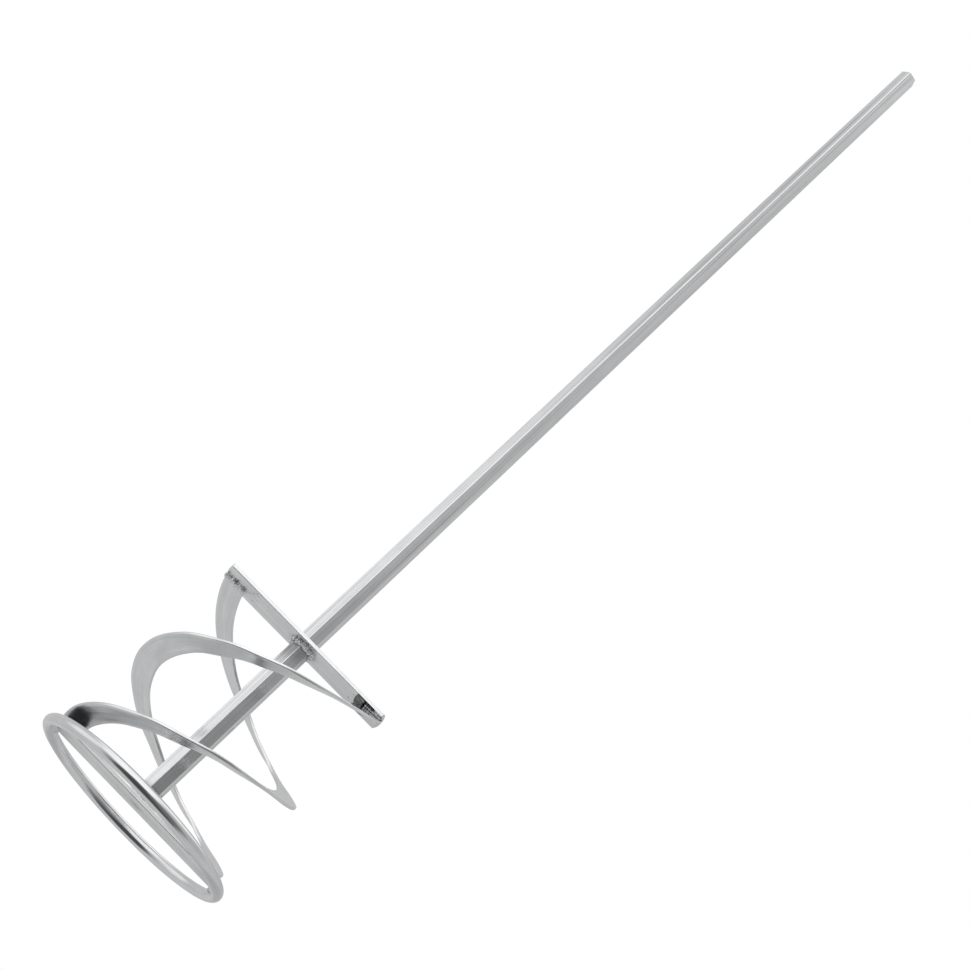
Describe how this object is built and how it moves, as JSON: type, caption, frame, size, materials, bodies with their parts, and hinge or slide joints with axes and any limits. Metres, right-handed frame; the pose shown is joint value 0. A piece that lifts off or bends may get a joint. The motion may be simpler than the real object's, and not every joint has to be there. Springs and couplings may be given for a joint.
{
  "type": "mortar mixing paddle",
  "caption": "Mixing paddle: long hexagonal drill shaft with helical strip blades held between a flat crossbar and a rod ring that a flat bar crosses.",
  "frame": {"origin": "on the shaft's axis, in the plane of the ring's lowest points", "axes": "+Z along the shaft, from the ring to the drill end; +X along the bottom bar and the crossbar; +Y across them. The object is symmetric when turned half a turn about Z, so either end of the bars can be called +X"},
  "size_m": [0.11, 0.11, 0.65],
  "materials": {
    "plated_steel": "bright zinc plate over drawn and rolled steel, glossy, with fine marks along the length",
    "weld_bead": "zinc plate over rough weld beads, duller, with dark spots"
  },
  "bodies": {
    "root": {"shaft": "plated_steel", "ring": "plated_steel", "bottom_bar": "plated_steel", "top_crossbar": "plated_steel", "blade_a": "plated_steel", "blade_b": "plated_steel", "crossbar_shaft_weld": "weld_bead", "bottom_shaft_weld": "weld_bead", "bar_ring_weld_a": "weld_bead", "bar_ring_weld_b": "weld_bead", "blade_foot_weld_a": "weld_bead", "blade_foot_weld_b": "weld_bead", "blade_head_weld_a": "weld_bead", "blade_head_weld_b": "weld_bead"}
  },
  "joints": []
}
